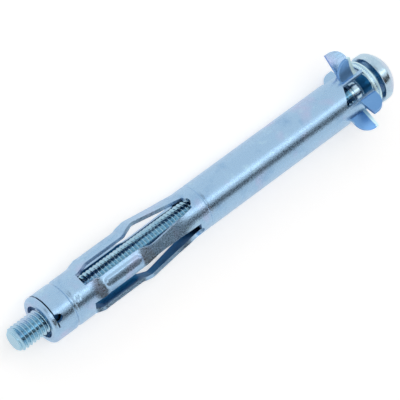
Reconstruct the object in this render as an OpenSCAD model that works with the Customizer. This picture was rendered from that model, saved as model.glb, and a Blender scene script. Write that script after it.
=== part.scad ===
// Hollow wall anchor, M5, for a 10 mm hole: a zinc-plated sheet-steel sleeve
// with four folding legs, its captive nut, and the pan-head screw.
// Millimetres, +Z up. The anchor lies on its two lower wings and one leg,
// with its axis along X and the screw head at +X.
// Angles round the axis are counted from straight up, towards -Y.

/* [Sleeve] */
// outside diameter of the plain tube
tube_d = 9.0; // [8:0.1:11]
// outside diameter of the nut end
nut_end_d = 9.4; // [8.4:0.1:11.4]
// thickness of the sheet steel
sheet = 0.7; // [0.5:0.05:1]
// place of the collar's end along the axis
sleeve_len = 81.0; // [60:0.1:110]
// place where the slots start along the axis
nut_end_len = 10.0; // [8:0.1:14]
// length of the slots
slot_len = 25.4; // [18:0.1:36]

/* [Legs] */
// turn of the first leg from straight up
leg_turn = 18; // [0:1:40]
// how far the flat of a leg stands out from the nut end
flat_rise = 0.8; // [0.2:0.05:1.5]
// how far the knee stands out from the nut end
knee_rise = 1.4; // [0.6:0.05:2.5]
// place of the knee, from the nut end
knee_at = 24.2; // [18:0.1:30]
// width of a leg at its ends
leg_w = 3.8; // [3:0.1:4.4]
// width of a leg at its flat
flat_w = 3.6; // [2.6:0.1:4]
// width of a leg at its knee
knee_w = 2.3; // [1.6:0.1:3]
// length of the pressed rib on a leg
rib_len = 8.7; // [5:0.1:9]
// width of the pressed rib
rib_w = 2.3; // [1.5:0.1:2.8]
// how far the rib stands out of the leg
rib_rise = 0.3; // [0.1:0.05:0.5]

/* [Wings] */
// axial length of a wing
wing_w = 3.7; // [2.5:0.1:4.5]
// reach of a wing from its fold
wing_h = 4.2; // [3:0.1:5]
// corner radius of a wing's round side
wing_round = 2.9; // [1.5:0.1:3.5]
// thickness of a wing
wing_t = 0.6; // [0.4:0.05:0.8]
// length of a window in the tube
window_len = 6.7; // [5:0.1:8]
// half the angle that a window takes of the tube
window_half = 26; // [20:1:32]
// length of the tube between the windows and the collar's end
collar_len = 1.1; // [1:0.1:3]
// diameter of the collar's end bead
bead_d = 9.7; // [9:0.1:10]

/* [Nut] */
// thickness of the nut
nut_len = 4.0; // [3:0.1:5]

/* [Screw] */
// outside diameter of the thread
screw_d = 4.9; // [4.7:0.05:5]
// length of the screw under its head
screw_len = 87.3; // [60:0.1:120]
// diameter of the pan head
head_d = 10.0; // [8.5:0.1:11]
// height of the pan head
head_h = 4.4; // [2.5:0.1:5]
// height of the head's straight rim
head_rim = 1.6; // [0.4:0.1:2]
// gap between the head and the collar
head_gap = 1.0; // [0:0.1:3]
// width across the driver's cross recess
recess_w = 4.6; // [3:0.1:5.5]
// width of one arm of the recess
recess_arm = 1.0; // [0.6:0.1:1.4]
// depth of the recess
recess_deep = 2.0; // [1:0.1:2.6]
// chamfer at the screw's end
end_chamfer = 0.5; // [0.2:0.05:1]

/* [Hidden] */
$fn = 96;
little = 0.05;                     // overlap that fuses two solids
clear_nut = 0.05;                  // radial clearance of the screw in the nut

tube_r = tube_d / 2;
tube_in = tube_r - sheet;
end_r = nut_end_d / 2;
end_in = end_r - sheet;
lip_start = 0.8;                   // front of the rolled lip
lip_x = lip_start + 0.75;          // inner face of the rolled lip
lip_in = end_r - 1.4;              // radius of the lip's opening
crimp_x = lip_x + nut_len + 0.75;  // ring crimp that holds the nut
crimp_deep = 0.3;
crimp_half = 0.2;
crimp_slope = 0.25;
ring_x = nut_end_len + slot_len + 2.8;  // ring crimp on the tube
ring_deep = 0.18;
ring_half = 0.1;
ring_slope = 0.2;
foot_x = nut_end_len + 0.6;        // where a leg starts to rise
flat_x = foot_x + 2.3;             // start of the flat
flat_end_x = knee_at - 2.5;        // end of the flat
knee_half = 0.3;
slot_x = nut_end_len + slot_len;   // tube end of the slots
slope_end_x = slot_x - 0.4;
flat_r = end_r + flat_rise;
knee_r = end_r + knee_rise;
window_end = sleeve_len - collar_len;
window_x = window_end - window_len;
window_short = 1.5;                // the window's upper corner is set back
window_long = 0.5;                 // and its lower corner reaches on
cut_x = window_x + 3.4;            // ring cut behind the lower wings
groove_r = tube_r - 0.2;
bead_r = bead_d / 2;
collar_r = tube_r + 0.12;
head_x = sleeve_len + head_gap;
tip_x = head_x - screw_len;
dome_h = head_h - head_rim;
dome_r = (pow(head_d / 2, 2) + pow(dome_h, 2)) / (2 * dome_h);
slot_half_deg = 45 - asin(leg_w / 2 / tube_r);
slot_end_r = tube_r * sin(slot_half_deg);

// angles of the four legs; the sheet's seam runs through the widest slot
leg_degs = [leg_turn, leg_turn + 100, leg_turn + 184, leg_turn + 278];
slot_degs = [for (i = [0 : 3]) (leg_degs[i] + (i < 3 ? leg_degs[i + 1] : leg_degs[0] + 360)) / 2];

// each wing: fold angle, direction, start along the axis, side of its
// straight edge (1 = towards the nut), reach
late_x = window_x + 3.1;           // start of the wings nearer the head
wings = [
    [ -65,  -78, late_x,       1, wing_h + 0.7],
    [  65,   77, window_x,    -1, wing_h + 0.1],
    [  28,   60, late_x - 0.4,  1, wing_h],
    [ -28,  -60, window_x+1.6, -1, wing_h],
    [-152, -120, window_x+2.4, -1, wing_h],
    [ 152,  120, window_x+2.9, -1, wing_h],
];
fold_r = tube_r - sheet / 2;
wing_root = 0.25;                  // how far a wing starts inside its fold
low_wing = wings[5];
axis_z = -(fold_r * cos(low_wing[0]) + low_wing[4] * cos(low_wing[1]))
         + wing_t / 2 * sin(low_wing[1]);
mid_x = (tip_x + head_x + head_h) / 2;

// from the anchor's own axis (Z, nut end at 0) to the resting place
module lay() {
    translate([-mid_x, 0, axis_z]) rotate([0, 90, 0]) rotate([0, 0, 180])
        children();
}

// wall of the sleeve, as one turned sheet
module sleeve_wall() {
    rotate_extrude() polygon([
        [lip_in, lip_start + 0.25], [lip_in + 0.15, lip_start + 0.05],
        [lip_in + 0.4, lip_start], [end_r - 0.5, lip_start],
        [end_r - 0.2, lip_start + 0.15], [end_r, lip_start + 0.5],
        [end_r, crimp_x - crimp_half - crimp_slope],
        [end_r - crimp_deep, crimp_x - crimp_half],
        [end_r - crimp_deep, crimp_x + crimp_half],
        [end_r, crimp_x + crimp_half + crimp_slope],
        [end_r, foot_x], [flat_r, flat_x], [flat_r, flat_end_x],
        [knee_r, knee_at - knee_half], [knee_r, knee_at + knee_half],
        [tube_r, slope_end_x],
        [tube_r, ring_x - ring_half - ring_slope],
        [tube_r - ring_deep, ring_x - ring_half],
        [tube_r - ring_deep, ring_x + ring_half],
        [tube_r, ring_x + ring_half + ring_slope],
        [tube_r, window_end], [collar_r, window_end + 0.05],
        [collar_r, window_end + 0.4], [groove_r, window_end + 0.5],
        [groove_r, window_end + 0.65], [bead_r - 0.1, window_end + 0.75],
        [bead_r, window_end + 0.85], [bead_r, sleeve_len - 0.2],
        [bead_r - 0.15, sleeve_len],
        [tube_in, sleeve_len],
        [tube_in, ring_x + ring_half + ring_slope],
        [tube_in - ring_deep, ring_x + ring_half],
        [tube_in - ring_deep, ring_x - ring_half],
        [tube_in, ring_x - ring_half - ring_slope],
        [tube_in, slope_end_x],
        [knee_r - sheet, knee_at + knee_half],
        [knee_r - sheet, knee_at - knee_half],
        [flat_r - sheet, flat_end_x], [flat_r - sheet, flat_x],
        [end_in, foot_x],
        [end_in, crimp_x + crimp_half + crimp_slope],
        [end_in - crimp_deep, crimp_x + crimp_half],
        [end_in - crimp_deep, crimp_x - crimp_half],
        [end_in, crimp_x - crimp_half - crimp_slope],
        [end_in, lip_x], [lip_in, lip_x]]);
}

// a plate that stands on the axis at one angle: its outline is drawn
// as [reach, length along the axis], and it is t thick
module plate(deg, t) {
    rotate([0, 0, deg]) rotate([90, 0, 0])
        translate([0, 0, -t / 2]) linear_extrude(t) children();
}

// the outline of a leg, seen from outside, pushed out through the wall
module leg_outline(deg) {
    reach = knee_r + 2;
    off = 0.25;                    // the outline turns just beside each bend
    rotate([0, 0, deg]) rotate([90, 0, 90]) linear_extrude(reach)
        polygon([
            [-leg_w / 2, nut_end_len - 1], [leg_w / 2, nut_end_len - 1],
            [leg_w / 2, foot_x + off], [flat_w / 2, flat_x + off],
            [flat_w / 2, flat_end_x - off], [knee_w / 2, knee_at + 0.1],
            [knee_w / 2, knee_at + 1.5],
            [leg_w / 2 - 0.25, slot_x - slot_end_r], [leg_w / 2, slot_x + 1],
            [-leg_w / 2, slot_x + 1], [-leg_w / 2 + 0.25, slot_x - slot_end_r],
            [-knee_w / 2, knee_at + 1.5], [-knee_w / 2, knee_at + 0.1],
            [-flat_w / 2, flat_end_x - off], [-flat_w / 2, flat_x + off],
            [-leg_w / 2, foot_x + off]]);
}

// everything between the legs, over the length of the slots
module slots() {
    difference() {
        translate([0, 0, nut_end_len]) cylinder(h = slot_len, r = knee_r + 1);
        for (deg = leg_degs) leg_outline(deg);
    }
}

// a bar with round ends, seen from outside, from r0 to r1
module rib_bar(deg, w, len, r0, r1) {
    mid = (flat_x + flat_end_x) / 2;
    rotate([0, 0, deg]) translate([r0, 0, mid]) rotate([0, 90, 0]) {
        translate([-(len - w) / 2, -w / 2, 0]) cube([len - w, w, r1 - r0]);
        for (side = [-1, 1])
            translate([side * (len - w) / 2, 0, 0]) cylinder(h = r1 - r0, r = w / 2);
    }
}

// a ring of sheet between two radii over the ribs' length
module rib_shell(r0, r1) {
    mid = (flat_x + flat_end_x) / 2;
    translate([0, 0, mid - rib_len / 2 - 1]) difference() {
        cylinder(h = rib_len + 2, r = r1);
        translate([0, 0, -1]) cylinder(h = rib_len + 4, r = r0);
    }
}

module one_rib(deg) {
    intersection() {
        rib_bar(deg, rib_w, rib_len, 0, knee_r + 1);
        rib_shell(flat_r - sheet / 2, flat_r + rib_rise);
    }
}

module one_rib_hollow(deg) {
    w = rib_w - sheet;
    intersection() {
        rib_bar(deg, w, rib_len - sheet, 0, knee_r + 1);
        rib_shell(flat_r - 2 * sheet, flat_r - sheet + rib_rise);
    }
}

// straight box cut through the near wall at one angle
module wall_cut(deg, w, z0, z1, r0, r1) {
    rotate([0, 0, deg]) translate([r0, -w / 2, z0]) cube([r1 - r0, w, z1 - z0]);
}

// one window of the tube; its near edge slants from one corner to the other
module window(deg, half, set_back, reach_on) {
    w = tube_r * sin(half);
    rotate([0, 0, deg]) rotate([90, 0, 90]) linear_extrude(tube_r + 1)
        polygon([[-w, window_x + set_back], [w, window_x - reach_on],
                 [w, window_end], [-w, window_end]]);
}

// one wing: straight edge towards the nut (1) or towards the head (-1)
module wing(spec) {
    h = spec[4];
    rotate([0, 0, spec[0]]) translate([fold_r, 0, spec[2] + wing_w / 2])
        rotate([0, 0, spec[1] - spec[0]]) rotate([90, 0, 0])
        translate([0, 0, -wing_t / 2]) linear_extrude(wing_t)
        mirror([0, spec[3] > 0 ? 0 : 1])
        translate([0, -wing_w / 2]) {
            translate([-wing_root, 0])
                square([h - wing_round + wing_root, wing_w]);
            square([h, wing_w - wing_round]);
            translate([h - wing_round, wing_w - wing_round]) intersection() {
                circle(r = wing_round);
                square(wing_round);
            }
        }
}

// slit beside the rolled lip and the corner hole that it ends in
module lip_slit() {
    slit_w = 0.22;
    slit_deep = 0.45;
    intersection() {
        translate([0, 0, lip_x + 0.3]) difference() {
            cylinder(h = slit_w, r = end_r + 1);
            translate([0, 0, -1]) cylinder(h = slit_w + 2, r = end_r - slit_deep);
        }
        rotate([0, 0, -52]) translate([0, -end_r - 1, 0])
            cube([end_r + 1, 2 * (end_r + 1), 4]);
    }
    corner = 1.9;
    rotate([0, 0, 16]) rotate([90, 0, 90]) translate([0, 0, end_in - 0.4])
        linear_extrude(sheet + 1)
        polygon([[-corner / 2, lip_x + 0.35], [corner / 2 - 0.1, lip_x + 0.45],
                 [corner / 2 - 0.2, lip_x + 1.3], [0.1, lip_x + 1.85],
                 [-0.4, lip_x + 1.6]]);
}

module sleeve() {
    color("lightsteelblue") lay() union() {
        difference() {
            union() {
                // turned sheet with the slots cut out, which leaves the legs
                difference() {
                    sleeve_wall();
                    slots();
                }
                for (deg = leg_degs) one_rib(deg);
            }
            for (deg = leg_degs) one_rib_hollow(deg);
            // round tube ends of the slots
            for (deg = slot_degs)
                rotate([0, 0, deg])
                    translate([tube_in - 1, 0, slot_x - 0.3]) rotate([0, 90, 0])
                        cylinder(h = sheet + 2, r = slot_end_r * 0.62);
            // windows, and the cuts behind the lower wings
            window(0, window_half, window_short, window_long);
            window(180, window_half, window_short, window_long);
            window(-90, window_half - 6, 0, 0);
            window(90, window_half - 6, 0, 0);
            for (side = [-1, 1], way = [0, 180])
                wall_cut(way + side * 49, 2 * tube_r * sin(14), cut_x,
                         window_end - 0.15, tube_in - 0.6, tube_r + 1);
            lip_slit();
            // short staked mark beside the crimp
            wall_cut(6, 1.1, crimp_x + 0.95, crimp_x + 1.2, end_r - 0.15, end_r + 1);
            wall_cut(6, 1.1, crimp_x + 1.45, crimp_x + 1.7, end_r - 0.15, end_r + 1);
        }
        for (w = wings) wing(w);
    }
}

// hexagon nut, held between the rolled lip and the ring crimp
module nut() {
    color("silver") lay() translate([0, 0, lip_x]) difference() {
        cylinder(h = nut_len, r = end_in - little, $fn = 6);
        translate([0, 0, -1]) cylinder(h = nut_len + 2, r = screw_d / 2 + clear_nut);
    }
}

// pan-head screw; its thread is a plain cylinder over the crests
module screw() {
    color("gainsboro") lay() difference() {
        union() {
            translate([0, 0, tip_x + end_chamfer])
                cylinder(h = screw_len - end_chamfer + little, r = screw_d / 2);
            translate([0, 0, tip_x])
                cylinder(h = end_chamfer, r1 = screw_d / 2 - end_chamfer, r2 = screw_d / 2);
            translate([0, 0, head_x]) cylinder(h = head_rim, r = head_d / 2);
            intersection() {
                translate([0, 0, head_x + head_h - dome_r]) sphere(r = dome_r);
                translate([0, 0, head_x + head_rim - little])
                    cylinder(h = head_h, r = head_d / 2);
            }
        }
        for (turn = [0, 90]) rotate([0, 0, turn])
            translate([-recess_w / 2, -recess_arm / 2, head_x + head_h - recess_deep])
                cube([recess_w, recess_arm, recess_deep + 1]);
    }
}

sleeve();
nut();
screw();
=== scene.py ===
# %% [markdown]
# # A hollow wall anchor
# A hollow wall anchor holds a fixture on a plasterboard wall. It is a sheet-steel
# sleeve with folding legs, a nut held in its far end, and a long pan-head screw.
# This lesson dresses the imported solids: it builds each piece again as fine meshes
# in code, gives them zinc-plate materials, and lights them like a small product.

# %% Load the fixed frame
import math

import bmesh
import bpy
from mathutils import Matrix, Vector
from mathutils.geometry import delaunay_2d_cdt


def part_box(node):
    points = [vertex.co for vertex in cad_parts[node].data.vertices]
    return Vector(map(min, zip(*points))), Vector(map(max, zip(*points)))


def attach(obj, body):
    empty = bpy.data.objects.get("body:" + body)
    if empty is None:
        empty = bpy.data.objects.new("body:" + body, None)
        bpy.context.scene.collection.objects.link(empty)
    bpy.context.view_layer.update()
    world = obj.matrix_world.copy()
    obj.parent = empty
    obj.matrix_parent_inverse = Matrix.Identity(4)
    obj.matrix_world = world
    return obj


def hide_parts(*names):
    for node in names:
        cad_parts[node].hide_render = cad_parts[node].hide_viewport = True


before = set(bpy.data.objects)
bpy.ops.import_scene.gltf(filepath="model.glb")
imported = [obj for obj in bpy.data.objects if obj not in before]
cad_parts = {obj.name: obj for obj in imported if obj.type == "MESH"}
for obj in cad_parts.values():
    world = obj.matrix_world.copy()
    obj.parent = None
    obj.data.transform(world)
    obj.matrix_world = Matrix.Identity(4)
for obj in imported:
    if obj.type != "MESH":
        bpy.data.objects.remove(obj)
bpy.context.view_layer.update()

# %% [markdown]
# ## Places and sizes
# Everything is drawn in millimetres in the anchor's own frame: x runs along
# the axis from just before the rolled lip of the nut end, and the angle round
# the axis is counted from straight up. One function turns that into metres.

# %% Anchor frame
MM = 0.001
deg = math.radians
sleeve_low, sleeve_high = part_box("sleeve")
screw_low, screw_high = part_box("screw")
LIP = 0.8                                        # where the rolled lip starts
LIP_X = sleeve_low[0] - LIP * MM                 # the drawing's zero
AXIS_Z = (screw_low[2] + screw_high[2]) / 2      # height of the axis
TIP_X = (screw_low[0] - LIP_X) / MM
TOP_X = (screw_high[0] - LIP_X) / MM
print("sleeve %.2f mm, screw from %.2f to %.2f mm" % (
    (sleeve_high[0] - LIP_X) / MM, TIP_X, TOP_X))


def place(x, radius, angle):
    """The point at x along the axis, in metres; the angle is in radians."""
    return Vector((LIP_X + x * MM,
                   -radius * math.sin(angle) * MM,
                   AXIS_Z + radius * math.cos(angle) * MM))


def drawn(point):
    """A finished point's x and radius in the drawing, in millimetres."""
    return ((point.x - LIP_X) / MM,
            math.hypot(point.y, point.z - AXIS_Z) / MM)


# %% Piece helpers
def new_piece(name, mesh):
    """An object for the mesh, at the scene's origin."""
    piece = bpy.data.objects.new(name, mesh)
    bpy.context.scene.collection.objects.link(piece)
    return piece


def piece_from(shape, name, *materials):
    """Turns finished bmesh faces into a piece with these materials."""
    mesh = bpy.data.meshes.new(name)
    shape.to_mesh(mesh)
    shape.free()
    for material in materials:
        mesh.materials.append(material)
    return new_piece(name, mesh)


def shade_smooth(piece):
    """Smooth shading on every face."""
    for polygon in piece.data.polygons:
        polygon.use_smooth = True


def baked(piece):
    """The piece with its modifiers applied, as a plain mesh."""
    graph = bpy.context.evaluated_depsgraph_get()
    mesh = bpy.data.meshes.new_from_object(piece.evaluated_get(graph))
    piece.modifiers.clear()
    piece.data = mesh
    return piece


def joined(pieces, name):
    """Several baked pieces as one piece."""
    whole = bmesh.new()
    materials = []
    for piece in pieces:
        start = len(whole.faces)
        whole.from_mesh(piece.data)
        whole.faces.ensure_lookup_table()
        for material in piece.data.materials:
            if material not in materials:
                materials.append(material)
        slots = [materials.index(m) for m in piece.data.materials]
        for face in whole.faces[start:]:
            face.material_index = slots[face.material_index]
        bpy.data.objects.remove(piece)
    return piece_from(whole, name, *materials)


def rounded_edges(piece, width, material=-1):
    """A narrow bevel on every sharp edge, in one of the piece's materials."""
    edge = piece.modifiers.new("edge", "BEVEL")
    edge.width = width * MM
    edge.segments = 2
    edge.limit_method = "ANGLE"
    edge.angle_limit = deg(50)
    edge.harden_normals = True
    edge.material = material


# %% [markdown]
# ## Zinc plate
# The whole anchor is electroplated with zinc and blue-passivated after it is
# pressed, so even the sheared edges are plated. The plate is a metal with a cool
# tint: cloudy patches a few millimetres wide, a fine grain, and faint draw
# marks along the tube. It could be painted, but noise in Object coordinates
# keeps the scale right on every piece.

# %% Node helpers
def linear(code):
    """An sRGB hex value as linear RGBA."""
    parts = [int(code[i:i + 2], 16) / 255 for i in (1, 3, 5)]
    return [p / 12.92 if p <= 0.04045 else ((p + 0.055) / 1.055) ** 2.4
            for p in parts] + [1.0]


def add(tree, kind, inputs=None, **settings):
    """Adds one node, sets its settings, and sets or links its inputs."""
    node = tree.nodes.new(kind)
    for name, value in settings.items():
        setattr(node, name, value)
    for socket, value in (inputs or {}).items():
        target = node.inputs[socket]
        if isinstance(value, bpy.types.NodeSocket):
            tree.links.new(value, target)
        else:
            target.default_value = value
    return node


def new_material(name):
    """A material and its empty node tree."""
    material = bpy.data.materials.new(name)
    material.use_nodes = True
    material.node_tree.nodes.clear()
    return material, material.node_tree


def ramp(tree, factor, stops):
    """A colour ramp with (position, hex colour) stops."""
    node = add(tree, "ShaderNodeValToRGB", {"Fac": factor})
    elements = node.color_ramp.elements
    while len(elements) < len(stops):
        elements.new(0.5)
    for element, (position, code) in zip(elements, stops):
        element.position = position
        element.color = linear(code)
    return node.outputs["Color"]


# %% Zinc-plate material
def zinc_plate(name, deep, main, pale, pink, rough, grain):
    """Blue-passivated zinc: four plate colours, a mean roughness and a grain."""
    material, tree = new_material(name)
    where = add(tree, "ShaderNodeTexCoord").outputs["Object"]
    clouds = add(tree, "ShaderNodeTexNoise", {
        "Vector": where, "Scale": 260.0, "Detail": 5.0, "Roughness": 0.6})
    tint = ramp(tree, clouds.outputs["Fac"],
                [(0.30, deep), (0.47, main), (0.60, main), (0.74, pale)])
    blush = add(tree, "ShaderNodeTexNoise", {
        "Vector": where, "Scale": 190.0, "Detail": 2.0})
    blush_amount = add(tree, "ShaderNodeMapRange", {
        "Value": blush.outputs["Fac"], "From Min": 0.56, "From Max": 0.72,
        "To Max": 0.55})
    colour = add(tree, "ShaderNodeMix", {
        "Factor": blush_amount.outputs["Result"],
        6: tint, 7: linear(pink)}, data_type="RGBA")
    fine = add(tree, "ShaderNodeTexNoise", {
        "Vector": where, "Scale": 3600.0, "Detail": 3.0, "Roughness": 0.65})
    along = add(tree, "ShaderNodeMapping", {
        "Vector": where, "Scale": (0.05, 1.0, 1.0)})
    draw = add(tree, "ShaderNodeTexNoise", {
        "Vector": along.outputs["Vector"], "Scale": 2600.0, "Detail": 2.0})
    roughness = add(tree, "ShaderNodeMapRange", {
        "Value": fine.outputs["Fac"], "From Min": 0.3, "From Max": 0.7,
        "To Min": rough - 0.05, "To Max": rough + 0.09})
    height = add(tree, "ShaderNodeMix", {
        "Factor": 0.3, 2: fine.outputs["Fac"], 3: draw.outputs["Fac"]},
        data_type="FLOAT")
    bump = add(tree, "ShaderNodeBump", {
        "Strength": grain, "Distance": 0.00006, "Height": height.outputs[0]})
    shader = add(tree, "ShaderNodeBsdfPrincipled", {
        "Base Color": colour.outputs[2], "Metallic": 1.0,
        "Roughness": roughness.outputs["Result"],
        "Normal": bump.outputs["Normal"]})
    add(tree, "ShaderNodeOutputMaterial", {"Surface": shader.outputs["BSDF"]})
    return material


# %% Plate on the sleeve, the screw and the nut
# pressed sheet: satin, cloudy, a little lilac where the passivation is thick
sleeve_zinc = zinc_plate("blue_zinc_pressed_sheet", "#8DB1D3", "#9FC0DD",
                         "#B0D2E6", "#B9BADB", 0.27, 0.5)
# cold-headed screw: smoother and brighter than the sheet
screw_zinc = zinc_plate("blue_zinc_headed_screw", "#9FBCD2", "#B4CEDF",
                        "#C6DCE8", "#C2C6DA", 0.20, 0.3)
# inside of the sleeve: rough plate, painted deep blue as the shade inside the tube
inner_painted_shade_zinc = zinc_plate("blue_zinc_sleeve_inside_painted_shade", "#1C5480", "#286E9E",
                        "#3C88B2", "#4478AC", 0.42, 0.5)
# sheared edges: a painted highlight, the plate drawn brighter where the thin edges
# catch the light
edge_painted_highlight_zinc = zinc_plate("blue_zinc_edge_painted_highlight", "#C0E2EE", "#D2EEF6",
                       "#E4F6FA", "#D4E0F2", 0.46, 0.2)
# folded wings: painted shade, a darker blue on one face of each wing
wing_painted_shade_zinc = zinc_plate("blue_zinc_wing_painted_shade", "#5B88C0", "#6D9CD0",
                       "#84B2DE", "#8F9CD8", 0.32, 0.4)
# thread: rolled before plating, a little bluer than the head
thread_zinc = zinc_plate("blue_zinc_rolled_thread", "#86B2CC", "#A2C8DC",
                         "#C2E2EE", "#AEBCDA", 0.2, 0.2)
# nut: the same plate, painted dark blue as the shade in its pocket
nut_painted_shade_zinc = zinc_plate("blue_zinc_nut_painted_shade", "#2A4C6C", "#3A6285",
                      "#4F7A9C", "#50688E", 0.34, 0.4)

# %% [markdown]
# ## The sleeve's sheet
# The real sleeve is one strip of 0.7 mm steel: slots and windows are punched
# flat, then it is rolled to a tube, its lip is rolled in over the nut, and the
# legs are pressed into their bent shape. The mesh follows the same idea. The
# flat blank is a 2-D drawing of angle and length with holes; a Delaunay
# triangulation fills it, and one radius rule rolls it up.

# %% Sheet sizes, in millimetres
SHEET = 0.7                              # thickness
TUBE_R, END_R = 4.5, 4.7                 # outer radii of the tube and nut end
LIP_IN, LIP_BEND = 3.3, 0.75             # the lip's opening and its bend
SLEEVE_LEN = 81.0
CRIMP, CRIMP_DEEP = 6.3, 0.3             # ring crimp that holds the nut
RING, RING_DEEP = 38.2, 0.18             # ring crimp on the tube
WINDOW_A, WINDOW_B = 73.2, 79.9          # the long windows
LATE_WINDOW = 76.6                       # where the short windows start
COLLAR_R, GROOVE_R, BEAD_R = 4.62, 4.3, 4.85
print("sheet %.1f mm, tube %.1f mm across" % (SHEET, 2 * TUBE_R))

# %% Leg sizes, in millimetres
LEGS = [deg(angle) for angle in (18, 118, 199, 296)]
NUT_END, SLOT_END = 10.0, 35.4           # the slots run between these
FOOT, FLAT_A, FLAT_B = 10.6, 12.9, 21.7  # the foot ramp, then the flat
KNEE, SLOPE_END = 24.2, 35.0             # the knee, then the long slope
FLAT_R, KNEE_R = 5.5, 6.1                # how far out a leg stands there
LEG_W, FLAT_W, KNEE_W = 3.8, 3.6, 2.3
LEG_SINK = 0.32                          # pressing sinks the whole leg
RIB_LEN, RIB_W, RIB_RISE = 8.7, 2.0, 0.3
RIB_MID = (FLAT_A + FLAT_B) / 2
RIB_SLOPE_IN, RIB_SLOPE_OUT = 0.34, 0.12
print(len(LEGS), "legs, knee %.1f mm out" % (KNEE_R - TUBE_R))

# %% Outline of the sleeve
PROFILE = [
    (LIP_BEND, END_R), (CRIMP - 0.45, END_R),
    (CRIMP - 0.2, END_R - CRIMP_DEEP), (CRIMP + 0.2, END_R - CRIMP_DEEP),
    (CRIMP + 0.45, END_R), (FOOT, END_R), (FLAT_A, FLAT_R), (FLAT_B, FLAT_R),
    (KNEE - 0.3, KNEE_R), (KNEE + 0.3, KNEE_R), (SLOPE_END, TUBE_R),
    (RING - 0.3, TUBE_R), (RING - 0.1, TUBE_R - RING_DEEP),
    (RING + 0.1, TUBE_R - RING_DEEP), (RING + 0.3, TUBE_R),
    # the collar: a thin ring, a groove and a rolled bead
    (WINDOW_B + 0.02, TUBE_R), (WINDOW_B + 0.08, COLLAR_R),
    (WINDOW_B + 0.35, COLLAR_R), (WINDOW_B + 0.45, GROOVE_R),
    (SLEEVE_LEN - 0.52, GROOVE_R), (SLEEVE_LEN - 0.42, BEAD_R - 0.07),
    (SLEEVE_LEN - 0.3, BEAD_R), (SLEEVE_LEN - 0.12, BEAD_R),
    (SLEEVE_LEN, BEAD_R - 0.13)]
LEG_WIDTH = [
    (NUT_END - 1, LEG_W), (FOOT + 0.25, LEG_W), (FLAT_A + 0.25, FLAT_W),
    (FLAT_B - 0.25, FLAT_W), (KNEE + 0.1, KNEE_W), (KNEE + 1.5, KNEE_W),
    (SLOT_END - 1.54, 3.3), (SLOT_END + 1.0, LEG_W)]
print("profile:", len(PROFILE), "points")


# %% Rules of the outline
def along(table, x):
    """Straight lines between the table's points."""
    if x <= table[0][0]:
        return table[0][1]
    for (x0, y0), (x1, y1) in zip(table, table[1:]):
        if x <= x1:
            return y0 + (y1 - y0) * (x - x0) / (x1 - x0)
    return table[-1][1]


def smooth(low, high, value):
    """Rises from 0 to 1 between low and high, with soft ends."""
    t = min(max((value - low) / (high - low), 0.0), 1.0)
    return t * t * (3 - 2 * t)


def profile_r(x):
    """The outer radius, with every bend rounded a little."""
    reach = 0.1
    if x < LIP + LIP_BEND + reach or x > SLEEVE_LEN - 1.6:
        return along(PROFILE, x)
    return sum(along(PROFILE, x + reach * k / 3) for k in range(-3, 4)) / 7


def leg_half(x):
    """Half the angle that a leg takes at x."""
    return math.asin(min(along(LEG_WIDTH, x) / 2 / profile_r(x), 1.0))


print("a leg takes %.0f degrees" % math.degrees(2 * leg_half(FLAT_A)))


# %% Pressed shapes
LEG_REACH = 0.62                 # half the angle that the leg's press covers
STAKE_ANGLE, STAKE_W, STAKE_DEEP = deg(6), 0.55, 0.12
STAKES = (CRIMP + 1.07, CRIMP + 1.57)


def wrap(angle):
    """The angle as a turn between minus and plus half a circle."""
    return (angle + math.pi) % (2 * math.pi) - math.pi


def lip_point(angle, x):
    """The rolled lip: a quarter bend, then a flat ring."""
    back = LIP + LIP_BEND - x
    arc = LIP_BEND * math.pi / 2
    if back < arc:
        turn = back / LIP_BEND
        return place(LIP + LIP_BEND * (1 - math.sin(turn)),
                     END_R - LIP_BEND * (1 - math.cos(turn)), angle)
    return place(LIP, END_R - LIP_BEND - (back - arc), angle)


def rib_rise(side, x):
    """Height of the pressed rib, side being the distance from its middle."""
    ends = max(abs(x - RIB_MID) - (RIB_LEN - RIB_W) / 2, 0.0)
    edge = math.hypot(ends, side) - RIB_W / 2
    return RIB_RISE * (1 - smooth(-RIB_SLOPE_IN, RIB_SLOPE_OUT, edge))


def sheet_point(angle, x):
    """Rolls a point of the flat blank up to the tube."""
    if x < LIP + LIP_BEND:
        return lip_point(angle, x)
    radius = profile_r(x)
    off = min((wrap(angle - leg) for leg in LEGS), key=abs)
    pressed = smooth(FOOT - 0.6, FLAT_A - 0.6, x) * (
        1 - smooth(SLOPE_END - 5.0, SLOPE_END + 0.3, x))
    if pressed > 0 and abs(off) < LEG_REACH:
        # the press flattens a leg across, and its ribbed part a little less
        ribbed = smooth(FLAT_A - 0.6, FLAT_A + 0.3, x) * (
            1 - smooth(FLAT_B - 0.3, FLAT_B + 0.7, x))
        flatness = 0.85 - 0.6 * ribbed
        radius -= LEG_SINK * pressed
        radius *= 1 + flatness * pressed * (1 / math.cos(off) - 1)
        radius += rib_rise(radius * math.sin(off), x)
    if abs(wrap(angle - STAKE_ANGLE)) * END_R < STAKE_W:
        for mark in STAKES:
            radius -= STAKE_DEEP * (1 - smooth(0.08, 0.2, abs(x - mark)))
    return place(x, radius, angle)


print("knee at %.2f mm" % drawn(sheet_point(LEGS[0], KNEE))[1])


# %% Shapes of the holes
WINDOW_HALF, SIDE_HALF, LOW_HALF = deg(26), deg(14), deg(20)
SIDE_AT = 49                     # degrees from a slanted window's middle
SLIT_A, SLIT_B = 1.82, 2.08      # the slit beside the lip
SLOT_ROUND = 0.95                # radius of a slot's round end


def steps(low, high, gap):
    """Even steps from low to high, no wider than the gap."""
    count = max(int(math.ceil(abs(high - low) / gap)), 1)
    return [low + (high - low) * i / count for i in range(count + 1)]


def slot_hole(leg, next_leg):
    """The slot between two legs, from the nut end to the tube."""
    stations = steps(NUT_END, SLOT_END, 0.3)
    one = [(leg + leg_half(x), x) for x in stations]
    other = [(next_leg - leg_half(x), x) for x in stations]
    return one + other[::-1]


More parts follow.
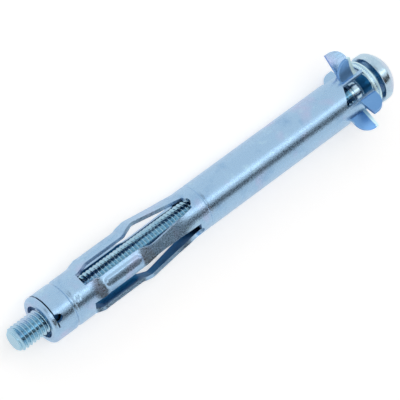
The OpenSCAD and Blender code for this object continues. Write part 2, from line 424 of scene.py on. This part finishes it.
def round_hole(centre, x, radius, around):
    """A round hole, drilled in the flat blank."""
    turn = [2 * math.pi * i / around for i in range(around)]
    return [(centre + radius * math.sin(t) / TUBE_R, x + radius * math.cos(t))
            for t in turn]


def box_hole(low, high, x_low, x_mid, x_high):
    """A window: its low corner starts at x_low, its high corner at x_mid."""
    bottom = [(low + (high - low) * t, x_low + (x_mid - x_low) * t)
              for t in steps(0, 1, 0.1)]
    up = [(high, x) for x in steps(x_mid, x_high, 0.4)[1:]]
    top = [(high + (low - high) * t, x_high) for t in steps(0, 1, 0.1)[1:]]
    down = [(low, x) for x in steps(x_high, x_low, 0.4)[1:-1]]
    return bottom + up + top + down


# %% Holes of the blank
holes = []
for leg, next_leg in zip(LEGS, LEGS[1:] + [LEGS[0] + deg(360)]):
    holes.append(slot_hole(leg, next_leg))
    holes.append(round_hole((leg + next_leg) / 2, SLOT_END - 0.3,
                            SLOT_ROUND, 24))
# two slanted windows, each between two short ones
for middle in (0, 180):
    holes.append(box_hole(deg(middle) - WINDOW_HALF, deg(middle) + WINDOW_HALF,
                          WINDOW_A + 1.5, WINDOW_A - 0.5, WINDOW_B))
    for side in (-SIDE_AT, SIDE_AT):
        centre = deg(middle + side)
        holes.append(box_hole(centre - SIDE_HALF, centre + SIDE_HALF,
                              LATE_WINDOW, LATE_WINDOW, WINDOW_B - 0.15))
for middle in (-90, 90):
    holes.append(box_hole(deg(middle) - LOW_HALF, deg(middle) + LOW_HALF,
                          WINDOW_A, WINDOW_A, WINDOW_B))
# the slit beside the lip, and the corner hole it ends in
holes.append(box_hole(deg(-142), deg(38), SLIT_A, SLIT_A, SLIT_B))
holes.append([(deg(16) + u / END_R, x) for u, x in
              ((-0.95, 1.9), (0.85, 2.0), (0.75, 2.85), (0.1, 3.4),
               (-0.4, 3.15))])
print(len(holes), "holes in the blank")

# %% Seam of the blank
SEAM = deg(113.5)                # a line along a leg, with no hole across it


def inside(hole, angle, x):
    """Even-odd test of a point against a hole."""
    hit = False
    for (a0, x0), (a1, x1) in zip(hole, hole[1:] + hole[:1]):
        if (x0 > x) != (x1 > x):
            hit ^= angle < a0 + (a1 - a0) * (x - x0) / (x1 - x0)
    return hit


def turned(hole):
    """Moves a hole into the turn below the seam."""
    middle = sum(a for a, x in hole) / len(hole)
    shift = 0.0
    while middle + shift > SEAM:
        shift -= 2 * math.pi
    while middle + shift < SEAM - 2 * math.pi:
        shift += 2 * math.pi
    return [(a + shift, x) for a, x in hole]


holes = [turned(hole) for hole in holes]
hole_boxes = [(min(a for a, x in h) - 0.05, max(a for a, x in h) + 0.05,
               min(x for a, x in h) - 0.2, max(x for a, x in h) + 0.2, h)
              for h in holes]


def in_hole(angle, x):
    """True inside any hole; the boxes keep the test quick."""
    return any(a0 < angle < a1 and x0 < x < x1 and inside(h, angle, x)
               for a0, a1, x0, x1, h in hole_boxes)


print("seam at %.1f degrees" % math.degrees(SEAM))

# %% Rows of the blank
AROUND = 72
x_start = LIP + LIP_BEND - LIP_BEND * math.pi / 2 - (END_R - LIP_BEND - LIP_IN)
stations = steps(x_start, LIP + LIP_BEND, 0.2)
for end, gap in ((NUT_END + 0.4, 0.17), (KNEE + 1.2, 0.25), (RING - 0.5, 0.5),
                 (RING + 0.5, 0.1), (WINDOW_A + 0.3, 1.2),
                 (SLEEVE_LEN - 0.45, 0.4), (SLEEVE_LEN, 0.07)):
    stations += steps(stations[-1], end, gap)[1:]
points, edges = [], []


def blank_point(angle, x):
    """Adds a point of the flat drawing and gives its number."""
    points.append(Vector((angle * TUBE_R, x)))
    return len(points) - 1


rows = []
for x in stations:
    rows.append([blank_point(SEAM - 2 * math.pi * i / AROUND, x)
                 for i in (0, AROUND)])
for one, other in zip(rows, rows[1:]):
    edges += [(one[0], other[0]), (one[1], other[1])]
edges += [tuple(rows[0]), tuple(rows[-1])]
outline_points = []
for hole in holes:
    ring = [blank_point(a, x) for a, x in hole]
    outline_points += [points[i] for i in ring]
    edges += list(zip(ring, ring[1:] + ring[:1]))
print(len(stations), "rows,", len(outline_points), "points round the holes")

# %% Loops that hold the sloping side of each rib
rib_points = []
for leg in LEGS:
    for grow in (-RIB_SLOPE_IN, -0.22, -0.11, 0.0, RIB_SLOPE_OUT):
        r, straight = RIB_W / 2 + grow, (RIB_LEN - RIB_W) / 2
        loop = [(r * math.sin(t), (r * math.cos(t) + straight) * way)
                for t in steps(-math.pi / 2, math.pi / 2, 0.16)
                for way in (-1, 1)]
        loop += [(r * way, x) for x in steps(-straight, straight, 0.18)
                 for way in (-1, 1)]
        for across_leg, x in loop:
            angle = leg + across_leg / (FLAT_R - 0.15)
            while angle > SEAM:
                angle -= 2 * math.pi
            rib_points.append(Vector((angle * TUBE_R, RIB_MID + x)))
outline_points += rib_points
points += rib_points
print(len(rib_points), "points on the ribs")

# %% Grid between the outlines
CELL = 0.3                       # bins that make the search for neighbours short
KEEP_OFF = 0.13                  # no grid point comes nearer to an outline
near = {}
for p in outline_points:
    near.setdefault((int(p.x // CELL), int(p.y // CELL)), []).append(p)


def crowded(p):
    """True where an outline's point is too near."""
    cx, cy = int(p.x // CELL), int(p.y // CELL)
    return any((p - q).length < KEEP_OFF
               for i in (-1, 0, 1) for j in (-1, 0, 1)
               for q in near.get((cx + i, cy + j), ()))


for x in stations:
    for i in range(1, AROUND):
        angle = SEAM - 2 * math.pi * i / AROUND
        p = Vector((angle * TUBE_R, x))
        if not in_hole(angle, x) and not crowded(p):
            points.append(p)
print(len(points), "points in the blank")

# %% Fill the blank and roll it up
filled = delaunay_2d_cdt(points, edges, [], 0, 1e-5)
flat, faces = filled[0], filled[2]
blank = bmesh.new()
corners = [blank.verts.new(sheet_point(p.x / TUBE_R, p.y)) for p in flat]
for face in faces:
    middle = sum((flat[i] for i in face), Vector((0, 0))) / len(face)
    if not in_hole(middle.x / TUBE_R, middle.y):
        blank.faces.new([corners[i] for i in face])
bmesh.ops.delete(blank, geom=[v for v in blank.verts if not v.link_faces],
                 context="VERTS")
bmesh.ops.remove_doubles(blank, verts=blank.verts, dist=0.004 * MM)
blank.normal_update()
first = min(blank.faces, key=lambda f: abs(
    f.calc_center_median().x - LIP_X - 55 * MM))
outward = first.calc_center_median() - Vector((0, 0, AXIS_Z))
outward.x = 0
if first.normal.dot(outward) < 0:
    bmesh.ops.reverse_faces(blank, faces=blank.faces)
print("sheet:", len(blank.faces), "faces,",
      sum(e.is_boundary for e in blank.edges), "edge pieces")
sheet = piece_from(blank, "sleeve_sheet", sleeve_zinc, inner_painted_shade_zinc, edge_painted_highlight_zinc)

# %% [markdown]
# ## Sheet thickness and sheared edges
# Solidify gives the sheet its 0.7 mm inwards, and a narrow bevel rounds the
# sheared edges: those thin rounded edges are what catches the light along every
# slot, and they carry a painted highlight too. Modifiers do it well here, because
# the blank is already clean.

# %% Thicken
def thicken(piece, thickness, offset, edge_width):
    """Gives a sheet its thickness, with painted shade inside and painted highlights
    on its edges.
    """
    solid = piece.modifiers.new("thickness", "SOLIDIFY")
    # slots of the sheet: 0 outside and cut walls, 1 inside, with painted shade,
    # 2 rounded edges, with a painted highlight
    solid.material_offset = 1
    solid.material_offset_rim = 0
    solid.thickness = thickness * MM
    solid.offset = offset
    solid.use_even_offset = True
    solid.use_quality_normals = True
    rounded_edges(piece, edge_width, material=2)
    shade_smooth(piece)
    return baked(piece)


thicken(sheet, SHEET, -1, 0.1)
# the die presses the collar's end flat, where the screw's head will land
collar_end = LIP_X + SLEEVE_LEN * MM
for vertex in sheet.data.vertices:
    vertex.co.x = min(vertex.co.x, collar_end)
# the thin ring and the bead of the collar carry the painted highlight as well
for polygon in sheet.data.polygons:
    x, radius = drawn(polygon.center)
    on_ring = WINDOW_B + 0.05 < x < WINDOW_B + 0.4
    if radius > TUBE_R and (on_ring or x > SLEEVE_LEN - 0.45):
        polygon.material_index = 2
print("sheet, thick:", len(sheet.data.polygons), "faces")

# %% [markdown]
# ## The wings
# Six wings are sheared out of the windows and folded outwards. In the wall they
# bite into the board and stop the sleeve from turning. Each one is a strip that
# leaves the wall along its tangent, turns through a tight bend, and stands out
# with a little of the tube's curve left in it; one corner is cut round.

# %% Wing sizes
FOLD_R = TUBE_R - SHEET / 2      # the folds lie in the middle of the wall
WING_W, WING_ROUND, WING_T = 3.7, 2.9, 0.6
BEND_R = 0.32                    # radius of the bend
WING_ROOT = 0.12                 # how far a wing starts inside the wall
HIGHLIGHT_STRIP_W = 0.6                  # strip of painted highlight along a wing's straight edge
HIGHLIGHT_STRIP_FOLDS = (65, -28)
# fold angle, direction, turn of its chord per mm, start along x, which edge is
# straight (1 towards the nut), reach, which way round it leaves the wall, and
# whether its upper face carries the painted shade
WINGS = [
    (-65, -84, -0.45, 76.3, 1, 4.85, -1, False),
    (65, 72, 2.8, 73.1, -1, 4.2, 1, True),
    (28, 72, 2.8, 76.0, 1, 4.1, -1, True),
    (-28, -77, 3.4, 75.0, -1, 4.1, 1, True),
    (-152, -110, 2.8, 76.0, -1, 4.0, -1, False),
    (152, 110, 2.8, 76.1, -1, 4.0, 1, True)]
print(len(WINGS), "wings")


# %% Path of a wing
def heading(angle):
    """The direction at an angle, in the plane across the axis."""
    return Vector((math.cos(angle), math.sin(angle)))


def wing_path(fold, direction, bow, reach, side):
    """Points across a wing, each with its reach beyond the fold."""
    corner = FOLD_R * heading(deg(fold))
    leave = heading(deg(fold) + side * math.pi / 2)
    out = heading(deg(direction))          # where it leaves its bend
    turn = leave.angle(out)
    cut = BEND_R * math.tan(turn / 2)
    path = [(corner - leave * (cut + WING_ROOT), -1.0)]
    # a round bend, drawn as a rational curve
    a, b, w = corner - leave * cut, corner + out * cut, math.cos(turn / 2)
    for i in range(9):
        t = i / 8
        p = ((1 - t) ** 2 * a + 2 * t * (1 - t) * w * corner + t * t * b) / (
            (1 - t) ** 2 + 2 * t * (1 - t) * w + t * t)
        path.append((p, cut * (2 * t - 1)))
    # beyond the bend its chord turns with the reach
    reaches = steps(cut, reach - WING_ROUND, 0.3)[1:]
    reaches += [reach - WING_ROUND + WING_ROUND * math.sin(math.pi / 2 * i / 12)
                for i in range(1, 13)]
    for s in reaches:
        chord = heading(deg(direction + side * bow * (s - cut)))
        path.append((corner + chord * s, s))
    return path


# %% Wings
def wing_sheet(name, path, start, straight, reach):
    """A strip of faces along the path, with its round corner cut."""
    shape = bmesh.new()
    rows = []
    for p, s in path:
        beyond = max(s - (reach - WING_ROUND), 0.0)
        short = WING_ROUND - math.sqrt(max(WING_ROUND ** 2 - beyond ** 2, 0.0))
        width = WING_W - short
        angle = math.atan2(p.y, p.x)
        row = []
        for t in steps(0, 1, 0.1):
            x = start + (t * width if straight > 0 else WING_W - t * width)
            row.append(shape.verts.new(place(x, p.length, angle)))
        rows.append(row)
    for one, other in zip(rows, rows[1:]):
        for i in range(len(one) - 1):
            shape.faces.new((one[i], one[i + 1], other[i + 1], other[i]))
    bmesh.ops.recalc_face_normals(shape, faces=shape.faces)
    return piece_from(shape, name, sleeve_zinc, wing_painted_shade_zinc, edge_painted_highlight_zinc)


def wing(number, fold, direction, bow, start, straight, reach, side,
         shade_above):
    """One folded wing, with its thickness, its painted shade and its painted
    highlights.
    """
    path = wing_path(fold, direction, bow, reach, side)
    blade = wing_sheet("wing_%d" % number, path, start, straight, reach)
    piece = thicken(blade, WING_T, 0, 0.12)
    strip = (start + WING_W - HIGHLIGHT_STRIP_W) * MM + LIP_X
    for polygon in piece.data.polygons:
        # on two wings the strip by the straight edge gets a painted highlight
        in_highlight_strip = polygon.center.x > strip and polygon.center.z > AXIS_Z
        if in_highlight_strip and fold in HIGHLIGHT_STRIP_FOLDS:
            polygon.material_index = 2
        # one face of each wing gets the painted shade
        elif polygon.material_index < 2:
            up = polygon.normal.z > 0
            polygon.material_index = 1 if up == shade_above else 0
    return piece


wings = [wing(i, *spec) for i, spec in enumerate(WINGS)]
sleeve = joined([sheet] + wings, "pressed_sleeve")
print("sleeve:", len(sleeve.data.polygons), "faces")
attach(sleeve, "sleeve_with_nut")
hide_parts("sleeve")

# %% [markdown]
# ## The rolled thread
# An M5 thread has a pitch of 0.8 mm, so the screw carries about a hundred turns.
# A thread repeats by a simple rule, so Geometry Nodes make it: a flat grid is
# rolled up, its rows are skewed to follow the helix, and the radius rises and
# falls once per pitch. The rows then lie exactly on crest and root.

# %% Thread tree
def thread_tree():
    """Geometry Nodes that roll a thread, with its sizes as inputs."""
    tree = bpy.data.node_groups.new("rolled_thread", "GeometryNodeTree")
    for name, kind, value in (
            ("Pitch", "NodeSocketFloat", 0.8), ("Crest", "NodeSocketFloat", 2.45),
            ("Root", "NodeSocketFloat", 2.0), ("Start", "NodeSocketFloat", 0.0),
            ("End", "NodeSocketFloat", 10.0), ("Tip", "NodeSocketFloat", 1.9),
            ("Rows", "NodeSocketInt", 8), ("Turns", "NodeSocketInt", 20),
            ("Around", "NodeSocketInt", 36)):
        socket = tree.interface.new_socket(name, in_out="INPUT",
                                           socket_type=kind)
        socket.default_value = value
    tree.interface.new_socket("Mesh", in_out="OUTPUT",
                              socket_type="NodeSocketGeometry")
    given = add(tree, "NodeGroupInput").outputs

    def math_node(operation, a, b=0.0, c=0.0, clamp=False):
        """The output of one more Math node."""
        node = add(tree, "ShaderNodeMath", {0: a, 1: b, 2: c},
                   operation=operation, use_clamp=clamp)
        return node.outputs[0]

    long = math_node("MULTIPLY", given["Turns"], given["Pitch"])
    row_count = math_node("MULTIPLY_ADD", given["Turns"], given["Rows"], 1.0)
    columns = math_node("ADD", given["Around"], 1.0)
    grid = add(tree, "GeometryNodeMeshGrid", {
        "Size X": 1.0, "Size Y": long, "Vertices X": columns,
        "Vertices Y": row_count})
    where = add(tree, "ShaderNodeSeparateXYZ", {
        0: add(tree, "GeometryNodeInputPosition").outputs[0]}).outputs
    share = math_node("ADD", where["X"], 0.5)
    half = math_node("MULTIPLY", long, 0.5)
    up = math_node("ADD", where["Y"], half)
    low = math_node("SUBTRACT", given["Start"], given["Pitch"])
    skew = math_node("MULTIPLY", share, given["Pitch"])
    x_free = math_node("ADD", math_node("ADD", low, up), skew)
    x = add(tree, "ShaderNodeClamp", {
        "Value": x_free, "Min": given["Start"], "Max": given["End"]}).outputs[0]
    # 0 in the root, 1 on the crest, once per pitch
    phase = math_node("FRACT", math_node("ADD", math_node(
        "SUBTRACT", math_node("DIVIDE", x, given["Pitch"]), share), 40.0))
    wave = math_node("ABSOLUTE", math_node("MULTIPLY_ADD", phase, 2.0, -1.0))
    # steep flanks between a flat crest and a flat root
    form = math_node("MULTIPLY_ADD", wave, 1.35, -0.16, clamp=True)
    rise = math_node("MULTIPLY", form, math_node(
        "SUBTRACT", given["Crest"], given["Root"]))
    radius = math_node("ADD", given["Root"], rise)
    cone = math_node("ADD", given["Tip"], math_node(
        "SUBTRACT", x, given["Start"]))
    radius = math_node("MINIMUM", radius, cone)
    turn = math_node("MULTIPLY", share, 2 * math.pi)
    y = math_node("MULTIPLY", radius, math_node("COSINE", turn))
    z = math_node("MULTIPLY", radius, math_node("SINE", turn))
    spot = add(tree, "ShaderNodeCombineXYZ", {"X": x, "Y": y, "Z": z})
    rolled = add(tree, "GeometryNodeSetPosition", {
        "Geometry": grid.outputs["Mesh"], "Position": spot.outputs[0]})
    # the flat end of the tip
    disc = add(tree, "GeometryNodeMeshCircle", {
        "Vertices": given["Around"], "Radius": given["Tip"]},
        fill_type="TRIANGLE_FAN")
    spot = add(tree, "ShaderNodeCombineXYZ", {"X": given["Start"]})
    end = add(tree, "GeometryNodeTransform", {
        "Geometry": disc.outputs[0], "Translation": spot.outputs[0],
        "Rotation": (0.0, -math.pi / 2, 0.0)})
    both = add(tree, "GeometryNodeJoinGeometry")
    tree.links.new(end.outputs[0], both.inputs[0])
    tree.links.new(rolled.outputs[0], both.inputs[0])
    welded = add(tree, "GeometryNodeMergeByDistance", {
        "Geometry": both.outputs[0], "Distance": 0.002})
    real = add(tree, "GeometryNodeRealizeInstances", {0: welded.outputs[0]})
    finished = add(tree, "GeometryNodeSetMaterial", {
        "Geometry": real.outputs[0], "Material": thread_zinc})
    add(tree, "NodeGroupOutput", {0: finished.outputs[0]})
    return tree


# %% Thread, baked
THREAD_END = 76.9                # the thread runs out in the window
PITCH, CREST_R, ROOT_R = 0.8, 2.48, 2.02
TIP_R = CREST_R - 0.65           # radius of the chamfered tip
thread = new_piece("thread", bpy.data.meshes.new("thread"))
roller = thread.modifiers.new("roll", "NODES")
roller.node_group = thread_tree()
turns = int(math.ceil((THREAD_END - TIP_X) / PITCH)) + 1
wanted = {"Pitch": PITCH, "Crest": CREST_R, "Root": ROOT_R, "Start": TIP_X,
          "End": THREAD_END, "Tip": TIP_R, "Rows": 8, "Turns": turns,
          "Around": 40}
for item in roller.node_group.interface.items_tree:
    if item.item_type == "SOCKET" and item.name in wanted:
        roller[item.identifier] = wanted[item.name]
baked(thread)
for vertex in thread.data.vertices:
    x, y, z = vertex.co
    vertex.co = (LIP_X + x * MM, y * MM, AXIS_Z + z * MM)
print("thread:", turns, "turns,", len(thread.data.polygons), "faces")

# %% [markdown]
# ## Shank and pan head
# The head is cold-formed on the wire: a flat bearing face, a short straight rim
# and a low dome with a driver's cross in it. It is a turned shape, so a profile
# is spun round the axis, and the cross is cut with a Boolean, as the punch
# would press it.

# %% Turned shapes
def turned_piece(name, profile, around, material):
    """Spins (x, radius) points round the axis; ends at radius 0 are closed."""
    shape = bmesh.new()
    rings = []
    for x, radius in profile:
        if radius < 1e-6:
            rings.append([shape.verts.new(place(x, 0, 0))])
        else:
            turn = [2 * math.pi * i / around for i in range(around)]
            rings.append([shape.verts.new(place(x, radius, angle))
                          for angle in turn])
    for one, other in zip(rings, rings[1:]):
        for i in range(around):
            j = (i + 1) % around
            a = [one[i % len(one)], one[j % len(one)]]
            b = [other[j % len(other)], other[i % len(other)]]
            shape.faces.new(list(dict.fromkeys(a + b)))
    bmesh.ops.recalc_face_normals(shape, faces=shape.faces)
    piece = piece_from(shape, name, material)
    shade_smooth(piece)
    return piece


# %% Pan head
HEAD_X, HEAD_R = 82.0, 5.0       # the head's bearing face and its radius
RIM = 1.6                        # height of the straight rim
NECK_R = 2.2
dome_h = TOP_X - HEAD_X - RIM
dome_r = (HEAD_R ** 2 + dome_h ** 2) / (2 * dome_h)
outline = [(THREAD_END - 0.8, 0.0), (THREAD_END - 0.8, 2.1), (THREAD_END, 2.3),
           (THREAD_END + 0.25, CREST_R), (THREAD_END + 1.7, CREST_R),
           (THREAD_END + 2.0, NECK_R), (SLEEVE_LEN - 0.1, NECK_R),
           (HEAD_X - 0.25, NECK_R),
           (HEAD_X - 0.07, NECK_R + 0.08), (HEAD_X, NECK_R + 0.3),
           (HEAD_X, HEAD_R - 0.3), (HEAD_X + 0.06, HEAD_R - 0.1),
           (HEAD_X + 0.2, HEAD_R), (HEAD_X + RIM - 0.15, HEAD_R),
           (HEAD_X + RIM, HEAD_R - 0.03)]
centre_x = TOP_X - dome_r
limit = math.asin((HEAD_R - 0.12) / dome_r)
for i in range(15):
    angle = limit * (1 - i / 14)
    outline.append((centre_x + dome_r * math.cos(angle),
                    dome_r * math.sin(angle)))
head = turned_piece("pan_head", outline, 96, screw_zinc)
# the neck is painted deep blue as shade inside the tube, and carries a painted
# highlight next to the head
head.data.materials.append(inner_painted_shade_zinc)
head.data.materials.append(edge_painted_highlight_zinc)
for polygon in head.data.polygons:
    x, radius = drawn(polygon.center)
    if THREAD_END + 1.75 < x < SLEEVE_LEN - 0.1:
        polygon.material_index = 1
    elif SLEEVE_LEN - 0.1 < x < HEAD_X - 0.02:
        polygon.material_index = 2
print("head: %.1f mm high, dome radius %.1f mm" % (TOP_X - HEAD_X, dome_r))


# %% Driver's cross
CROSS_DEEP, CROSS_OVER = 2.0, 0.6


def cross_cutter():
    """A tapered cross, wide at the top of the head."""
    shape = bmesh.new()
    deep, top = TOP_X - CROSS_DEEP, TOP_X + CROSS_OVER
    for turn in (0, math.pi / 2):
        corners = []
        for x, long, wide in ((deep, 1.1, 0.36), (top, 2.6, 0.56)):
            for u, v in ((-long, -wide), (long, -wide), (long, wide),
                         (-long, wide)):
                corners.append(shape.verts.new(
                    place(x, math.hypot(u, v), math.atan2(v, u) + turn)))
        for face in ((0, 1, 2, 3), (4, 5, 6, 7), (0, 1, 5, 4), (1, 2, 6, 5),
                     (2, 3, 7, 6), (3, 0, 4, 7)):
            shape.faces.new([corners[i] for i in face])
    bmesh.ops.recalc_face_normals(shape, faces=shape.faces)
    return piece_from(shape, "cross", screw_zinc)


cross = cross_cutter()
punch = head.modifiers.new("cross", "BOOLEAN")
punch.object = cross
punch.operation = "DIFFERENCE"
punch.solver = "EXACT"
punch.use_self = True
rounded_edges(head, 0.05)
baked(head)
bpy.data.objects.remove(cross)
screw = joined([thread, head], "machine_screw")
print("screw:", len(screw.data.polygons), "faces")
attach(screw, "screw_piece")
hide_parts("screw")

# %% [markdown]
# ## The captive nut
# A hexagon nut sits in the closed end of the sleeve, between the rolled lip and
# the crimp ring. Its corners are chamfered where a turned cone meets the
# hexagon: the smaller of the two radii at every angle gives that exact edge.

# %% Nut
NUT_A, NUT_B, NUT_R, NUT_BORE = 1.55, 5.55, 3.95, 2.5
NUT_FLAT_R = NUT_R * math.cos(math.pi / 6)
NUT_AROUND = 96


def hexagon_r(angle):
    """The nut's radius; a corner points straight up, as in the solid."""
    off = (angle + math.pi / 6) % (math.pi / 3) - math.pi / 6
    return NUT_FLAT_R / math.cos(math.pi / 6 - abs(off))


def nut_piece():
    """The nut as a closed ring of sections from one face to the other."""
    shape = bmesh.new()
    turn = [2 * math.pi * i / NUT_AROUND for i in range(NUT_AROUND)]
    # how far the turned cone stands outside the flats; None is the bore
    sections = [(NUT_A, None), (NUT_A, -0.02), (NUT_A + 0.12, 0.22),
                (NUT_A + 0.3, 0.58), (NUT_B - 0.3, 0.58),
                (NUT_B - 0.12, 0.22), (NUT_B, -0.02), (NUT_B, None)]
    rings = []
    for x, cone in sections:
        if cone is None:
            radii = [NUT_BORE] * NUT_AROUND
        else:
            radii = [min(hexagon_r(angle), NUT_FLAT_R + cone)
                     for angle in turn]
        rings.append([shape.verts.new(place(x, radius, angle))
                      for radius, angle in zip(radii, turn)])
    for one, other in zip(rings, rings[1:] + rings[:1]):
        for i in range(NUT_AROUND):
            j = (i + 1) % NUT_AROUND
            shape.faces.new((one[i], one[j], other[j], other[i]))
    bmesh.ops.recalc_face_normals(shape, faces=shape.faces)
    # the nut's dark plate is painted shade
    return piece_from(shape, "captive_nut", nut_painted_shade_zinc)


nut = nut_piece()
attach(nut, "sleeve_with_nut")
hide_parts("nut")
print("nut:", len(nut.data.polygons), "faces")

# %% [markdown]
# ## Floor, light and camera
# Small plated parts look best in a light tent: white all round, one soft strip
# of light along the part, and a few cards, so that the metal has something dark
# to mirror. The floor is white and keeps the soft contact shadow.

# %% Rays that show a backdrop
def seen_rays(tree):
    """1 for camera, glossy and transmission rays, and 0 for all others."""
    rays = add(tree, "ShaderNodeLightPath").outputs
    seen = add(tree, "ShaderNodeMath", {
        0: rays["Is Camera Ray"], 1: rays["Is Glossy Ray"]},
        operation="MAXIMUM")
    seen = add(tree, "ShaderNodeMath", {
        0: seen.outputs[0], 1: rays["Is Transmission Ray"]},
        operation="MAXIMUM")
    return seen.outputs[0]


# %% Floor
PAPER_LIFT = 0.45                # glow that brings the lit paper up to white


def flat_panel(name, corners, material):
    """One flat face that is part of the stage."""
    mesh = bpy.data.meshes.new(name)
    mesh.from_pydata(corners, [], [(0, 1, 2, 3)])
    mesh.materials.append(material)
    panel = new_piece(name, mesh)
    return panel


def floor_material():
    """White paper: diffuse, lifted a little for the camera and reflections."""
    material, tree = new_material("white_paper")
    lift = add(tree, "ShaderNodeMath", {0: seen_rays(tree), 1: PAPER_LIFT},
               operation="MULTIPLY")
    paper = add(tree, "ShaderNodeBsdfDiffuse", {"Color": linear("#F0EEEC")})
    glow = add(tree, "ShaderNodeEmission", {
        "Color": (1, 1, 1, 1), "Strength": lift.outputs[0]})
    both = add(tree, "ShaderNodeAddShader", {
        0: paper.outputs[0], 1: glow.outputs[0]})
    add(tree, "ShaderNodeOutputMaterial", {"Surface": both.outputs[0]})
    return material


FLOOR = 4.0
flat_panel("floor", [(-FLOOR, -FLOOR, 0), (FLOOR, -FLOOR, 0),
                     (FLOOR, FLOOR, 0), (-FLOOR, FLOOR, 0)], floor_material())

# %% Light tent
world = bpy.data.worlds.new("light_tent")
bpy.context.scene.world = world
world.use_nodes = True
sky = world.node_tree
sky.nodes.clear()
level = add(sky, "ShaderNodeMapRange", {
    "Value": seen_rays(sky), "To Min": 0.75, "To Max": 1.0})
tent = add(sky, "ShaderNodeBackground", {
    "Color": (1, 1, 1, 1), "Strength": level.outputs[0]})
add(sky, "ShaderNodeOutputWorld", {"Surface": tent.outputs[0]})


# %% Strip of light
def strip_point(angle, distance, x):
    """A point round the anchor's axis, at an angle from straight up."""
    return Vector((x, -distance * math.sin(angle),
                   AXIS_Z + distance * math.cos(angle)))


def strip_lamp(name, angle, distance, width, length, middle, power):
    """A long area lamp beside the axis, turned to face the anchor."""
    data = bpy.data.lights.new(name, "AREA")
    data.shape = "RECTANGLE"
    data.size, data.size_y = length, width
    data.energy = power
    lamp = bpy.data.objects.new(name, data)
    bpy.context.scene.collection.objects.link(lamp)
    lamp.location = strip_point(angle, distance, middle)
    back = (Vector((middle, 0, AXIS_Z)) - lamp.location).normalized()
    # local -Z points at the anchor and local X runs along it
    side = Vector((1, 0, 0))
    up = (-back).cross(side)
    lamp.rotation_mode = "QUATERNION"
    lamp.rotation_quaternion = Matrix(
        (side, up, -back)).transposed().to_quaternion()
    return lamp


strip_lamp("soft_strip", deg(7), distance=1.2, width=0.24, length=2.4,
           middle=0.5, power=2.2)

# %% Cards
CARD_FAR = 1.1                   # distance from the axis, in metres


def card_material(name, colour):
    """Matt painted card."""
    material = bpy.data.materials.new(name)
    material.use_nodes = True
    shader = material.node_tree.nodes["Principled BSDF"]
    shader.inputs["Base Color"].default_value = linear(colour)
    shader.inputs["Roughness"].default_value = 0.9
    return material


def card(name, angles, ends, colour):
    """A card along the anchor that only its reflections show."""
    low_edge, high_edge = deg(angles[0]), deg(angles[1])
    panel = flat_panel(name, [
        strip_point(low_edge, CARD_FAR, ends[0]),
        strip_point(low_edge, CARD_FAR, ends[1]),
        strip_point(high_edge, CARD_FAR, ends[1]),
        strip_point(high_edge, CARD_FAR, ends[0])],
        card_material(name, colour))
    panel.visible_camera = False
    panel.visible_shadow = False
    return panel


# dark line along the tube, brown in the leg ramps, grey on the far flanks
card("dark_card", (54, 27.5), (0.1, 2.2), "#22282E")
card("brown_card", (56, 24), (-1.0, 0.1), "#5A3A22")
card("grey_card", (-12, -36), (-1.0, 0.0), "#DCE0E4")

# %% Camera
TILT = deg(24.0)                 # the tip of the screw leans to the camera
TURN = deg(36.3)                 # slope of the anchor's axis in the picture
FAR = 0.470                      # from the camera to its aim, in metres
LENS, SENSOR = 233.1, 36.0       # millimetres
AIM_X, AIM_Y = 39.5, 0.62        # millimetres along and across the anchor
VIEW = Vector((-math.sin(TILT), 0.0, math.cos(TILT)))
along_axis = Vector((math.cos(TILT), 0.0, math.sin(TILT)))
across = VIEW.cross(along_axis)
RIGHT = along_axis * math.cos(TURN) - across * math.sin(TURN)
UP = VIEW.cross(RIGHT)
camera_data = bpy.data.cameras.new("camera")
camera_data.sensor_width = SENSOR
camera_data.lens = LENS
camera = bpy.data.objects.new("camera", camera_data)
bpy.context.scene.collection.objects.link(camera)
aim = Vector((LIP_X + AIM_X * MM, AIM_Y * MM, AXIS_Z))
camera.location = aim + VIEW * FAR
camera.rotation_mode = "QUATERNION"
camera.rotation_quaternion = Matrix(
    (RIGHT, UP, VIEW)).transposed().to_quaternion()
camera_data.clip_start, camera_data.clip_end = 0.01, 20.0
bpy.context.scene.camera = camera
bpy.context.scene.view_settings.view_transform = "Standard"
